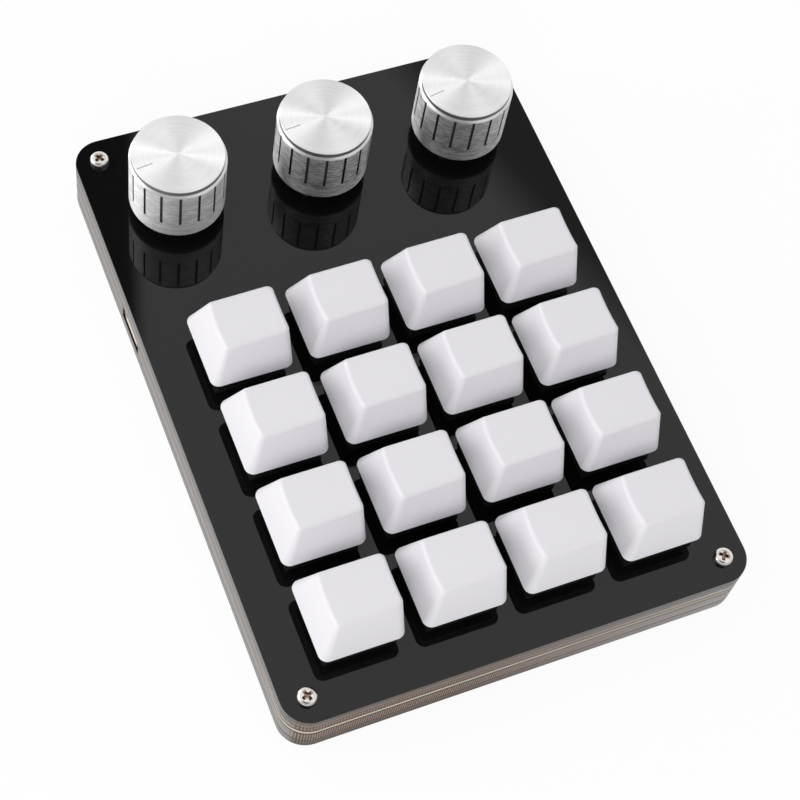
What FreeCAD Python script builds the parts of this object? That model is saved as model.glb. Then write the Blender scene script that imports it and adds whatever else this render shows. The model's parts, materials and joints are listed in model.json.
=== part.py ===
import FreeCAD, Part
import math
import os

# Macro keypad: sixteen sculpted keys and three knobs that turn and press, on a bolted stack of plates.
# Millimetres. +X runs along the key rows, +Y towards the knobs, +Z up.
# The origin is the middle of the outline, on the desk under the feet.

os.makedirs("parts", exist_ok=True)

# Case
case_side_margin = 9.35
case_front_margin = 9.15
case_back_margin = 10.8
case_corner_radius = 6.2
top_plate_thickness = 3.0
upper_frame_thickness = 2.0
board_thickness = 1.6
bottom_plate_thickness = 3.0
frame_wall = 8.0
frame_inner_chamfer = 5.0

# Feet, screws and standoffs
foot_height = 2.0
foot_radius = 4.5
foot_inset = 15.0
screw_inset = 5.4
screw_radius = 0.95
screw_engagement = 3.0
screw_head_radius = 2.1
screw_head_height = 1.4
standoff_across_flats = 4.0
standoff_sides = 6
thread_clearance = 0.05
screw_clearance = 0.15
standoff_clearance = 0.1

# Key field
key_columns = 4
key_rows = 4
key_gap_x = 3.9
key_gap_y = 3.2

# Key switch
switch_cutout = 14.0
switch_fit = 0.05
switch_flange_lip = 0.8
switch_flange_thickness = 0.8
switch_height = 6.6
switch_top_x = 9.8
switch_top_y = 10.6
switch_shoulder_inset = 0.5
switch_floor = 1.0
switch_roof = 1.4
switch_slack = 0.2
key_travel = 4.0

# Sliding stem
stem_x = 7.2
stem_y = 5.6
stem_flange_lip = 0.6
stem_below_top = 0.2
stem_rise = 3.6
stem_roof = 1.5
cross_length = 4.1
cross_rib_x = 1.17
cross_rib_y = 1.31

# Return spring, drawn as the sleeve that its turns fill
spring_radius = 2.0
spring_wire = 0.4
spring_clearance = 0.3

# Soldered ends of each switch's contact pins, under the circuit board
contact_x = (-3.81, 2.54)
contact_y = (2.54, 5.08)
contact_width = 1.0
contact_thickness = 0.3
contact_reach = 1.7

# Keycap
cap_base = 18.1
cap_height = 9.5
cap_pressed_gap = 0.5
cap_front_lean = 3.9
cap_back_lean = 0.45
cap_side_lean = 3.35
cap_base_radius = 1.6
cap_top_radius = 2.6
cap_corner_steps = 2
cap_edge_chamfer = 0.7
cap_tilt_degrees = 2.9
cap_dish_radius = 25.0
cap_wall = 1.3
cap_roof = 1.4
cap_post_wall = 0.7
cap_post_gap = 0.3
cap_socket_fit = 0.05
cap_socket_slack = 0.2

# Knobs
knob_count = 3
knob_names = ("left", "middle", "right")
knob_side_margin = 7.5
knob_key_gap = 20.05
knob_turn_degrees = (7.1, 4.8, 9.9)
knob_radius = 10.5
knob_height = 15.75
knob_lift = 3.5
knob_face_inset = 0.5
knob_face_rise = 0.95
knob_ledge_drop = 0.5
knob_roof = 2.6
knob_shell = 1.9
knob_slots = 16
knob_sides_per_slot = 3
knob_side_turn_share = 0.5
knob_slot_width = 0.55
knob_slot_depth = 0.5
knob_slot_foot = 4.2
knob_slot_head = 0.25
pointer_length_shares = (0.6, 0.96)
pointer_width = 0.35
pointer_depth = 0.15

# Plastic bush in each knob
bush_fit = 0.05
bush_proud = 0.4
bush_hollow_clearance = 0.8
bush_hollow_gap = 1.1

# Rotary encoders
encoder_size = 12.0
encoder_cutout_clearance = 0.3
encoder_wall = 0.5
encoder_base_height = 2.3
encoder_cover_height = 2.2
encoder_cover_roof = 0.6
bushing_radius = 3.5
bushing_height = 5.0
shaft_radius = 2.95
shaft_fit = 0.05
shaft_top_gap = 2.15
shaft_flat = 1.5
shaft_foot_gap = 0.5
shaft_well_slack = 0.1
disc_thickness = 1.2
disc_gap = 0.1
disc_clearance = 0.3
well_clearance = 0.15
knob_travel = 0.5

# Socket in the left edge
socket_setback = 22.4
socket_width = 8.94
socket_height = 3.26
socket_length = 7.35
socket_wall = 0.3
socket_chamfer = 0.8
socket_recess = 0.3
socket_back = 1.15
socket_headroom = 0.74
tongue_side_gap = 0.825
tongue_thickness = 0.7
tongue_setback = 0.8
notch_clearance = 0.78

# Components under the circuit board
chip_size = 7.0
chip_height = 1.4
chip_x = 14.0
chip_setback = 21.7
crystal_gap = 5.0
crystal_length = 5.0
crystal_width = 3.2
crystal_height = 1.0
diode_length = 2.8
diode_width = 1.6
diode_height = 1.1
diode_offset_y = -5.5

# Sides of the hidden round details and of the small repeated ones that show
hidden_sides = 6
small_sides = 12

# Cutters overrun by this much
overrun = 1.0

# Layout, from the keys and knobs outwards
key_pitch_x = cap_base + key_gap_x
key_pitch_y = cap_base + key_gap_y
key_field_width = (key_columns - 1) * key_pitch_x + cap_base
key_field_length = (key_rows - 1) * key_pitch_y + cap_base
knob_row_length = knob_key_gap + 2 * knob_radius
case_width = key_field_width + 2 * case_side_margin
case_length = case_front_margin + key_field_length + knob_row_length + case_back_margin
key_field_y = case_front_margin + key_field_length / 2 - case_length / 2
knob_row_y = case_length / 2 - case_back_margin - knob_radius
knob_pitch = (case_width - 2 * (knob_side_margin + knob_radius)) / (knob_count - 1)
socket_y = knob_row_y - socket_setback
chip_y = knob_row_y - chip_setback

# Sizes that follow their neighbours
lower_frame_thickness = socket_height + socket_headroom
switch_flange = switch_cutout + 2 * switch_flange_lip
switch_shoulder = switch_flange - 2 * switch_shoulder_inset
stem_flange_y = stem_y + 2 * stem_flange_lip
cap_lift = switch_flange_thickness + key_travel + cap_pressed_gap
cap_post_radius = cross_length / 2 + cap_post_wall
knob_face_radius = knob_radius - knob_face_inset
knob_sides = knob_slots * knob_sides_per_slot
disc_radius = encoder_size / 2 - encoder_wall - disc_clearance

# Levels
bottom_plate_bottom = foot_height
bottom_plate_top = bottom_plate_bottom + bottom_plate_thickness
board_bottom = bottom_plate_top + lower_frame_thickness
board_top = board_bottom + board_thickness
top_plate_bottom = board_top + upper_frame_thickness
plate_top = top_plate_bottom + top_plate_thickness
switch_top = plate_top + switch_height
switch_floor_top = board_top + switch_floor
stem_top = switch_top + stem_rise
stem_shoulder = switch_top - stem_below_top
stem_flange_top = switch_top - switch_roof - switch_slack
stem_bottom = switch_floor_top + key_travel + switch_slack
spring_top = stem_shoulder - stem_roof
cap_bottom = plate_top + cap_lift
knob_bottom = plate_top + knob_lift
knob_top = knob_bottom + knob_height
encoder_base_top = board_top + encoder_base_height
encoder_cover_top = encoder_base_top + encoder_cover_height
bushing_top = encoder_cover_top + bushing_height
shaft_bottom = encoder_base_top + shaft_foot_gap
shaft_end = knob_top - knob_roof - shaft_top_gap

key_places = [
    (
        "r%dc%d" % (row + 1, column + 1),
        key_pitch_x * (column - (key_columns - 1) / 2),
        key_field_y + key_pitch_y * ((key_rows - 1) / 2 - row),
    )
    for row in range(key_rows)
    for column in range(key_columns)
]
knob_places = [
    (name, knob_pitch * (index - (knob_count - 1) / 2), knob_row_y, knob_turn_degrees[index])
    for index, name in enumerate(knob_names)
]
screw_places = [
    (side_x * (case_width / 2 - screw_inset), side_y * (case_length / 2 - screw_inset))
    for side_x in (-1, 1)
    for side_y in (-1, 1)
]
foot_places = [
    (side_x * (case_width / 2 - foot_inset), side_y * (case_length / 2 - foot_inset))
    for side_x in (-1, 1)
    for side_y in (-1, 1)
]


def point(x, y, z=0.0):
    return FreeCAD.Vector(x, y, z)


def on_circle(x, y, z, radius, degrees):
    angle = math.radians(degrees)
    return point(x + radius * math.cos(angle), y + radius * math.sin(angle), z)


def rounded_wire(left, right, front, back, radius, z=0.0):
    """A closed outline of four straight sides and four corner arcs."""
    corners = (
        (right - radius, front + radius, -90),
        (right - radius, back - radius, 0),
        (left + radius, back - radius, 90),
        (left + radius, front + radius, 180),
    )
    arcs = [[on_circle(x, y, z, radius, start + turn) for turn in (0, 45, 90)] for x, y, start in corners]
    edges = []
    for index, arc in enumerate(arcs):
        edges.append(Part.Arc(*arc).toShape())
        following = arcs[(index + 1) % len(arcs)]
        edges.append(Part.makeLine(arc[-1], following[0]))
    return Part.Wire(edges)


def polygon_wire(corners, z):
    loop = [point(x, y, z) for x, y in corners]
    return Part.makePolygon(loop + loop[:1])


def box_corners(x, y, size_x, size_y):
    half_x, half_y = size_x / 2, size_y / 2
    return (
        (x - half_x, y - half_y),
        (x + half_x, y - half_y),
        (x + half_x, y + half_y),
        (x - half_x, y + half_y),
    )


def chamfered_corners(size_x, size_y, chamfer):
    half_x, half_y = size_x / 2, size_y / 2
    quarter = ((half_x, half_y - chamfer), (half_x - chamfer, half_y))
    right_back = [quarter[0], quarter[1]]
    left_back = [(-quarter[1][0], quarter[1][1]), (-quarter[0][0], quarter[0][1])]
    left_front = [(-quarter[0][0], -quarter[0][1]), (-quarter[1][0], -quarter[1][1])]
    right_front = [(quarter[1][0], -quarter[1][1]), (quarter[0][0], -quarter[0][1])]
    return right_back + left_back + left_front + right_front


def many_sided(x, y, radius, sides, turn_share=0.0):
    """Corners of a regular outline, turned by a share of one side."""
    corners = [on_circle(x, y, 0, radius, 360 * (side + turn_share) / sides) for side in range(sides)]
    return [(corner.x, corner.y) for corner in corners]


def sheet(thickness, outline, holes=()):
    """A flat layer: an outline with holes, extruded upwards."""
    face = Part.makeFace([outline] + list(holes), "Part::FaceMakerBullseye")
    return face.extrude(point(0, 0, thickness))


def block(x, y, size_x, size_y, bottom, top):
    return sheet(top - bottom, polygon_wire(box_corners(x, y, size_x, size_y), bottom))


def column(x, y, radius, bottom, top, sides=hidden_sides):
    return sheet(top - bottom, polygon_wire(many_sided(x, y, radius, sides), bottom))


def stacked(loops):
    """A solid of flat faces through level loops of matching corners, from the lowest to the highest."""
    outlines = [loops[0], loops[-1]]
    for lower, upper in zip(loops, loops[1:]):
        for index, corner in enumerate(lower):
            outlines.append([lower[index - 1], corner, upper[index], upper[index - 1]])
    faces = [Part.Face(Part.makePolygon(outline + outline[:1])) for outline in outlines]
    solid = Part.makeSolid(Part.makeShell(faces))
    return solid if solid.Volume > 0 else solid.reversed()


def at(shape, x, y, z=0.0):
    placed = shape.copy()
    placed.translate(point(x, y, z))
    return placed


def save(node, shapes):
    solids = [solid for shape in shapes for solid in shape.Solids]
    whole = solids[0] if len(solids) == 1 else Part.makeCompound(solids)
    whole.exportStep("parts/%s.step" % node)


def case_outline(z):
    half_x, half_y = case_width / 2, case_length / 2
    return rounded_wire(-half_x, half_x, -half_y, half_y, case_corner_radius, z)


def standoff_outline(x, y, z, clearance):
    corner_radius = (standoff_across_flats / 2 + clearance) / math.cos(math.pi / standoff_sides)
    return polygon_wire(many_sided(x, y, corner_radius, standoff_sides), z)


def standoff_holes(z):
    return [standoff_outline(x, y, z, standoff_clearance) for x, y in screw_places]


def screw_holes(z):
    radius = screw_radius + screw_clearance
    return [polygon_wire(many_sided(x, y, radius, hidden_sides), z) for x, y in screw_places]


def top_plate():
    holes = [
        polygon_wire(box_corners(x, y, switch_cutout, switch_cutout), top_plate_bottom)
        for name, x, y in key_places
    ]
    encoder_cutout = encoder_size + 2 * encoder_cutout_clearance
    holes += [
        polygon_wire(box_corners(x, y, encoder_cutout, encoder_cutout), top_plate_bottom)
        for name, x, y, turn in knob_places
    ]
    holes += screw_holes(top_plate_bottom)
    return sheet(top_plate_thickness, case_outline(top_plate_bottom), holes)


def frame_ring(bottom, thickness):
    inner_x, inner_y = case_width - 2 * frame_wall, case_length - 2 * frame_wall
    opening = polygon_wire(chamfered_corners(inner_x, inner_y, frame_inner_chamfer), bottom)
    return sheet(thickness, case_outline(bottom), [opening] + standoff_holes(bottom))


def lower_frame():
    ring = frame_ring(bottom_plate_top, lower_frame_thickness)
    notch_x = (frame_wall - case_width) / 2
    notch = block(
        notch_x,
        socket_y,
        frame_wall + 2 * overrun,
        socket_width + 2 * notch_clearance,
        bottom_plate_top - overrun,
        board_bottom + overrun,
    )
    return ring.cut(notch)


def bottom_plate():
    outline = case_outline(bottom_plate_bottom)
    return sheet(bottom_plate_thickness, outline, screw_holes(bottom_plate_bottom))


def circuit_board():
    return sheet(board_thickness, case_outline(board_bottom), standoff_holes(board_bottom))


def lower_housing():
    """The half of a switch below the plate, with its flange and its hollow."""
    body_size = switch_cutout - 2 * switch_fit
    body = block(0, 0, body_size, body_size, board_top, plate_top)
    flange_top = plate_top + switch_flange_thickness
    flange = block(0, 0, switch_flange, switch_flange, plate_top, flange_top)
    hollow_x, hollow_y = stem_x + 2 * switch_slack, stem_flange_y + 2 * switch_slack
    hollow = block(0, 0, hollow_x, hollow_y, switch_floor_top, flange_top + overrun)
    return body.fuse(flange).cut(hollow)


def upper_housing():
    """The tapered half above the flange, open at the top for the stem."""
    bottom = plate_top + switch_flange_thickness
    foot = box_corners(0, 0, switch_shoulder, switch_shoulder)
    head = box_corners(0, 0, switch_top_x, switch_top_y)
    shell = stacked([[point(x, y, bottom) for x, y in foot], [point(x, y, switch_top) for x, y in head]])
    hollow_x = stem_x + 2 * switch_slack
    hollow = block(
        0, 0, hollow_x, stem_flange_y + 2 * switch_slack, bottom - overrun, switch_top - switch_roof
    )
    mouth = block(0, 0, hollow_x, stem_y + 2 * switch_slack, bottom, switch_top + overrun)
    return shell.cut([hollow, mouth])


def stem():
    """The slider: a block with a retaining flange, a spring pocket and the cross that holds the cap."""
    body = block(0, 0, stem_x, stem_y, stem_bottom, stem_shoulder)
    flange = block(0, 0, stem_x, stem_flange_y, stem_bottom, stem_flange_top)
    pocket = column(0, 0, spring_radius + spring_clearance, stem_bottom - overrun, spring_top)
    rib_x = block(0, 0, cross_length, cross_rib_x, stem_shoulder, stem_top)
    rib_y = block(0, 0, cross_rib_y, cross_length, stem_shoulder, stem_top)
    return body.fuse([flange, rib_x, rib_y]).cut(pocket).removeSplitter()


def switch_spring():
    outer = polygon_wire(many_sided(0, 0, spring_radius, hidden_sides), switch_floor_top)
    inner = polygon_wire(many_sided(0, 0, spring_radius - spring_wire, hidden_sides), switch_floor_top)
    return sheet(spring_top - switch_floor_top, outer, [inner])


def switch_contact(x, y):
    bottom = board_bottom - contact_reach
    return block(x, y, contact_thickness, contact_width, bottom, board_bottom)


def cap_limits(height, inset):
    """Left, right, front and back of the keycap at a height above its rim."""
    share = height / cap_height
    half = cap_base / 2 - inset
    return (
        -half + cap_front_lean * share,
        half - cap_back_lean * share,
        -half + cap_side_lean * share,
        half - cap_side_lean * share,
    )


def cap_section(height):
    """The outline of the cap at a height, with each corner turned in short steps."""
    left, right, front, back = cap_limits(height, 0)
    radius = cap_base_radius + (cap_top_radius - cap_base_radius) * height / cap_height
    centres = (
        (right - radius, back - radius),
        (left + radius, back - radius),
        (left + radius, front + radius),
        (right - radius, front + radius),
    )
    corners = []
    for quarter, (x, y) in enumerate(centres):
        for step in range(cap_corner_steps + 1):
            degrees = 90 * (quarter + step / cap_corner_steps)
            corners.append(on_circle(x, y, height, radius, degrees))
    return corners


def cap_hollow_section(height):
    left, right, front, back = cap_limits(height, cap_wall)
    corners = ((left, front), (right, front), (right, back), (left, back))
    return [point(x, y, height) for x, y in corners]


def cap_sag():
    """How far the middle of the dish lies below its front and back edges."""
    half = cap_base / 2 - cap_side_lean
    return cap_dish_radius - math.sqrt(cap_dish_radius ** 2 - half ** 2)


def cap_dish():
    """The cylinder that scoops the top, along X and rising towards the back of the cap."""
    left, right, front, back = cap_limits(cap_height, 0)
    tilt = math.radians(cap_tilt_degrees)
    along = point(math.cos(tilt), 0, math.sin(tilt))
    middle = point((left + right) / 2, 0, cap_height - cap_sag() + cap_dish_radius)
    return Part.makeCylinder(cap_dish_radius, 2 * cap_base, middle - along * cap_base, along)


def keycap():
    """A sculpted cap: a tapered shell with a dished, tilted top and a post with a cross socket."""
    crown = cap_height + cap_base * math.sin(math.radians(cap_tilt_degrees))
    body = stacked([cap_section(0), cap_section(crown)]).cut(cap_dish())
    top = max(body.Faces, key=lambda face: face.CenterOfMass.z)
    body = body.makeChamfer(cap_edge_chamfer, top.OuterWire.Edges)
    ceiling = cap_height - cap_sag() - cap_roof
    hollow = stacked([cap_hollow_section(-overrun), cap_hollow_section(ceiling)])
    post_bottom = stem_shoulder + cap_post_gap - cap_bottom
    post = column(0, 0, cap_post_radius, post_bottom, ceiling + cap_roof / 2)
    socket_top = stem_top + cap_socket_slack - cap_bottom
    grown = 2 * cap_socket_fit
    sockets = [
        block(0, 0, cross_length + grown, cross_rib_x + grown, post_bottom - overrun, socket_top),
        block(0, 0, cross_rib_y + grown, cross_length + grown, post_bottom - overrun, socket_top),
    ]
    return body.cut(hollow).fuse(post).cut(sockets)


def knob():
    """A turned shell with a raised face, a chamfered shoulder, milled slots and a line towards +X.

    Each slot lies in the middle of one of the shell's narrow flat sides.
    """
    ledge = knob_top - knob_face_rise
    shoulder = ledge - knob_ledge_drop
    profile = (
        (knob_radius, knob_bottom),
        (knob_radius, shoulder),
        (knob_face_radius, ledge),
        (knob_face_radius, knob_top),
    )
    rings = []
    for radius, z in profile:
        corners = many_sided(0, 0, radius, knob_sides, knob_side_turn_share)
        rings.append([point(x, y, z) for x, y in corners])
    turned = stacked(rings)
    bore = column(
        0, 0, knob_radius - knob_shell, knob_bottom - overrun, knob_top - knob_roof, small_sides
    )
    slot = block(
        knob_radius,
        0,
        2 * knob_slot_depth,
        knob_slot_width,
        knob_bottom + knob_slot_foot,
        shoulder - knob_slot_head,
    )
    cutters = [bore]
    for index in range(knob_slots):
        turned_slot = slot.copy()
        turned_slot.rotate(point(0, 0, 0), point(0, 0, 1), 360 * index / knob_slots)
        cutters.append(turned_slot)
    near, far = [knob_face_radius * share for share in pointer_length_shares]
    line_bottom, line_top = knob_top - pointer_depth, knob_top + overrun
    cutters.append(block((near + far) / 2, 0, far - near, pointer_width, line_bottom, line_top))
    return turned.cut(cutters)


def flatted_bar(corner_radius, flat_x, bottom, top):
    """A many-sided upright bar with one flat on +X."""
    beyond = block(
        flat_x + corner_radius, 0, 2 * corner_radius, 3 * corner_radius, bottom - overrun, top + overrun
    )
    return column(0, 0, corner_radius, bottom, top, small_sides).cut(beyond)


def shaft_bore_corners():
    """Radius at the corners of a bore whose flat sides just clear the shaft."""
    return (shaft_radius + shaft_fit) / math.cos(math.pi / small_sides)


def shaft_bore(bottom, top):
    flat_x = shaft_radius - shaft_flat + shaft_fit
    return flatted_bar(shaft_bore_corners(), flat_x, bottom, top)


def knob_bush():
    """The plug inside a knob, with a hollow over the bushing and a flatted bore for the shaft."""
    bottom = knob_bottom - bush_proud
    top = knob_top - knob_roof - bush_fit
    plug = column(0, 0, knob_radius - knob_shell - bush_fit, bottom, top, small_sides)
    hollow_top = bushing_top + knob_travel + bush_hollow_gap
    hollow = column(
        0, 0, bushing_radius + bush_hollow_clearance, bottom - overrun, hollow_top, small_sides
    )
    bore = shaft_bore(hollow_top - overrun, shaft_end + bush_fit)
    return plug.cut([hollow, bore])


def encoder_shaft():
    return flatted_bar(shaft_radius, shaft_radius - shaft_flat, shaft_bottom, shaft_end)


def encoder_disc():
    bottom = encoder_base_top + disc_gap
    top = bottom + disc_thickness
    rim = column(0, 0, disc_radius, bottom, top, small_sides)
    return rim.cut(shaft_bore(bottom - overrun, top + overrun))


def encoder_base():
    base = block(0, 0, encoder_size, encoder_size, board_top, encoder_base_top)
    well_bottom = shaft_bottom - knob_travel - shaft_well_slack
    well = column(0, 0, shaft_radius + well_clearance, well_bottom, encoder_base_top + overrun, small_sides)
    return base.cut(well)


def encoder_cover():
    """The lid of an encoder: a square cap over the disc, with the bushing that the shaft runs in."""
    cover = block(0, 0, encoder_size, encoder_size, encoder_base_top, encoder_cover_top)
    bushing = column(0, 0, bushing_radius, encoder_cover_top, bushing_top, small_sides)
    chamber_top = encoder_cover_top - encoder_cover_roof
    chamber_radius = disc_radius + disc_clearance
    chamber = column(0, 0, chamber_radius, encoder_base_top - overrun, chamber_top, small_sides)
    bore_top = bushing_top + overrun
    bore = column(0, 0, shaft_bore_corners(), encoder_base_top, bore_top, small_sides)
    return cover.fuse(bushing).cut([chamber, bore])


def usb_socket():
    """A pressed metal shell with a contact tongue, hung from the underside of the circuit board."""
    mouth_x = -case_width / 2 + socket_recess
    middle_z = board_bottom - socket_height / 2

    def tube(inset, start_x, length):
        section = chamfered_corners(
            socket_width - 2 * inset, socket_height - 2 * inset, socket_chamfer - inset / 2
        )
        loop = [point(start_x, socket_y + y, middle_z + z) for y, z in section]
        return Part.Face(Part.makePolygon(loop + loop[:1])).extrude(point(length, 0, 0))

    socket_mouth_depth = socket_length - socket_back
    shell = tube(0, mouth_x, socket_length)
    mouth = tube(socket_wall, mouth_x - overrun, socket_mouth_depth + overrun)
    tongue_length = socket_mouth_depth - tongue_setback
    tongue = block(
        mouth_x + tongue_setback + tongue_length / 2,
        socket_y,
        tongue_length,
        socket_width - 2 * (socket_wall + tongue_side_gap),
        middle_z - tongue_thickness / 2,
        middle_z + tongue_thickness / 2,
    )
    return shell.cut(mouth).fuse(tongue)


def board_components():
    parts = [block(chip_x, chip_y, chip_size, chip_size, board_bottom - chip_height, board_bottom)]
    crystal_top = board_bottom - crystal_height
    crystal_x = chip_x + chip_size / 2 + crystal_gap + crystal_length / 2
    parts.append(block(crystal_x, chip_y, crystal_length, crystal_width, crystal_top, board_bottom))
    for name, x, y in key_places:
        diode_bottom = board_bottom - diode_height
        parts.append(block(x, y + diode_offset_y, diode_length, diode_width, diode_bottom, board_bottom))
    return parts


def case_screw(plate_thickness):
    """A screw standing on its tip, with the underside of its head at height zero."""
    head = column(0, 0, screw_head_radius, 0, screw_head_height, small_sides)
    shank = column(0, 0, screw_radius, -(plate_thickness + screw_engagement), 0)
    return head.fuse(shank)


def case_screws():
    upright = case_screw(top_plate_thickness)
    inverted = case_screw(bottom_plate_thickness)
    inverted.rotate(point(0, 0, 0), point(1, 0, 0), 180)
    screws = []
    for x, y in screw_places:
        screws.append(at(upright, x, y, plate_top))
        screws.append(at(inverted, x, y, bottom_plate_bottom))
    return screws


def standoff(x, y):
    outline = standoff_outline(x, y, bottom_plate_top, 0)
    bore = many_sided(x, y, screw_radius + thread_clearance, hidden_sides)
    height = top_plate_bottom - bottom_plate_top
    return sheet(height, outline, [polygon_wire(bore, bottom_plate_top)])


def rubber_foot():
    return column(0, 0, foot_radius, 0, foot_height, small_sides)


def save_case():
    save("top_plate", [top_plate()])
    save("upper_frame", [frame_ring(board_top, upper_frame_thickness)])
    save("circuit_board", [circuit_board()])
    save("lower_frame", [lower_frame()])
    save("bottom_plate", [bottom_plate()])
    save("usb_socket", [usb_socket()])
    save("board_components", board_components())
    save("case_screws", case_screws())
    save("standoffs", [standoff(x, y) for x, y in screw_places])
    save("rubber_feet", [at(rubber_foot(), x, y) for x, y in foot_places])


def save_keys():
    lower, upper, spring, slider, cap = lower_housing(), upper_housing(), switch_spring(), stem(), keycap()
    contacts = [switch_contact(x, y) for x, y in zip(contact_x, contact_y)]
    save("switch_lower_housings", [at(lower, x, y) for name, x, y in key_places])
    save("switch_upper_housings", [at(upper, x, y) for name, x, y in key_places])
    save("switch_springs", [at(spring, x, y) for name, x, y in key_places])
    save("switch_contacts", [at(strip, x, y) for name, x, y in key_places for strip in contacts])
    for name, x, y in key_places:
        save("stem_" + name, [at(slider, x, y)])
        save("keycap_" + name, [at(cap, x, y, cap_bottom)])


def save_dials():
    pieces = {
        "knob": knob(),
        "knob_bush": knob_bush(),
        "encoder_shaft": encoder_shaft(),
        "encoder_disc": encoder_disc(),
    }
    for name, x, y, turn in knob_places:
        for kind, shape in pieces.items():
            turned = shape.copy()
            turned.rotate(point(0, 0, 0), point(0, 0, 1), 180 + turn)
            save("%s_%s" % (kind, name), [at(turned, x, y)])
    base, cover = encoder_base(), encoder_cover()
    save("encoder_bases", [at(base, x, y) for name, x, y, turn in knob_places])
    save("encoder_covers", [at(cover, x, y) for name, x, y, turn in knob_places])


save_case()
save_keys()
save_dials()
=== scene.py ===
import json
import math

import bpy
from bpy.props import FloatProperty, FloatVectorProperty, IntProperty, PointerProperty
from mathutils import Matrix, Vector

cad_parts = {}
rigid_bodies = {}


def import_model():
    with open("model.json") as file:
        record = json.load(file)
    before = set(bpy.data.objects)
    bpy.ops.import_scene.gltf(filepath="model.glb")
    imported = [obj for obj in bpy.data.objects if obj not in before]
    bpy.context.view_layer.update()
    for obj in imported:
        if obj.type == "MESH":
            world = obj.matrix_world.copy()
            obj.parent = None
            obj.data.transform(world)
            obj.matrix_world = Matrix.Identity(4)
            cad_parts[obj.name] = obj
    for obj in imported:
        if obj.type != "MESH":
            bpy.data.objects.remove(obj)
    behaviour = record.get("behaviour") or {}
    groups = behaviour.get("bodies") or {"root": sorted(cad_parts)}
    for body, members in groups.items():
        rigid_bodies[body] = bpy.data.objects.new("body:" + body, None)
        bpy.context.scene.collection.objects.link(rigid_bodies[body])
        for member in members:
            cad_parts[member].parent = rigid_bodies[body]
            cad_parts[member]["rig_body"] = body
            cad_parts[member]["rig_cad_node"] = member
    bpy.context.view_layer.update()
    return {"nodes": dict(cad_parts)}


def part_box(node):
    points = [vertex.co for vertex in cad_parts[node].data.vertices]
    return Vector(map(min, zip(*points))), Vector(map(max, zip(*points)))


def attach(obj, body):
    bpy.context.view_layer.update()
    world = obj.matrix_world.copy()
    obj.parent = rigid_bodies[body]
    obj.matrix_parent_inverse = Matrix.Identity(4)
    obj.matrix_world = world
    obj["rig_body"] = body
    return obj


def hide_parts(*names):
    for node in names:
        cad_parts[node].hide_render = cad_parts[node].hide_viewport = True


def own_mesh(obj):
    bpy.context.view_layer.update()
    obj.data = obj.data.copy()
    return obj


bl_info = {
    "name": "Macro keypad",
    "version": (1, 0, 0),
    "blender": (4, 5, 0),
    "location": "View3D > Sidebar > Keypad",
    "description": "Models the seen pieces of a macro keypad with knobs and sets them in a pale studio",
    "category": "Object",
}

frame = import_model()

MM = 0.001
UP = Vector((0, 0, 1))

KEYS = [name[len("keycap_"):] for name in sorted(frame["nodes"]) if name.startswith("keycap_")]

# The knobs from left to right: their turn in degrees, how bare their metal is, and the shares of
# the side's colour in their dark and their light scratches. These shares are also painted light: the
# left knob's side is painted lighter and the middle and right ones darker, in place of how the lamps fall on
# each.
KNOB_LOOKS_AND_PAINTED_LIGHT = {
    "left": {"turn": 7.1, "bare": 0.82, "dark": 0.8, "light": 1.15},
    "middle": {"turn": 4.8, "bare": 1.0, "dark": 0.34, "light": 1.0},
    "right": {"turn": 9.9, "bare": 0.97, "dark": 0.4, "light": 1.0},
}

# The case from top to bottom: the shades go up through each layer's cut edge.
LAYERS = {
    "top_plate": {
        "slot": "smoked_plate", "tint": "edge_tint", "marks": 0.3, "spread": 1.2, "gloss": 0.5,
        "grey": (1.0, 0.4, 0.25, 0.7), "brown": (1.8, 0.9, 0.4, 0.15),
    },
    "upper_frame": {
        "slot": "frosted_frame", "tint": "frame_tint", "marks": 0.7, "spread": 1.2, "gloss": 0.25,
        "grey": (1.3, 1.25), "brown": (0.9, 1.0, 1.8),
    },
    "circuit_board": {"slot": "circuit_board"},
    "lower_frame": {
        "slot": "frosted_frame", "tint": "frame_tint", "marks": 0.95, "spread": 1.0, "gloss": 0.25,
        "grey": (1.1, 1.3, 1.15), "brown": (1.5, 0.9, 1.3, 0.7),
    },
    "bottom_plate": {
        "slot": "frosted_frame", "tint": "edge_tint", "marks": 0.6, "spread": 1.0, "gloss": 0.25,
        "grey": (1.25, 1.2, 1.15), "brown": (0.35, 0.55, 0.9),
    },
}

# The corners with a screw above and a screw below: their sides, and how far each screw is turned.
SCREW_TURNS = ((-1, -1, 0.35, 1.1), (-1, 1, 0.6, 0.2), (1, -1, 0.9, 0.4), (1, 1, 1.3, 0.1))

# The lamps: where they stand in metres, their size, and whether reflections show them.
LAMPS = {
    "key": ((-1.2, 0.45, 0.6), (0.9, 0.7), True),
    "fill": ((-0.5, -0.9, 1.0), (0.9, 0.7), False),
    "strip": ((-0.6, 1.25, 0.5), (0.25, 0.7), True),
}


def length(name, text, millimetres):
    return FloatProperty(name=name, description=text, default=millimetres * MM, unit="LENGTH", precision=5)


def degrees(name, text, value):
    return FloatProperty(name=name, description=text, default=math.radians(value), subtype="ANGLE")


def ratio(name, text, value):
    return FloatProperty(name=name, description=text, default=value, subtype="FACTOR")


def watts(name, text, value):
    return FloatProperty(name=name, description=text, default=value, subtype="POWER")


def amount(name, text, value, least):
    return IntProperty(name=name, description=text, default=value, min=least)


def colour(name, text, rgb):
    return FloatVectorProperty(name=name, description=text, default=rgb, subtype="COLOR", min=0, max=1)


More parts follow.
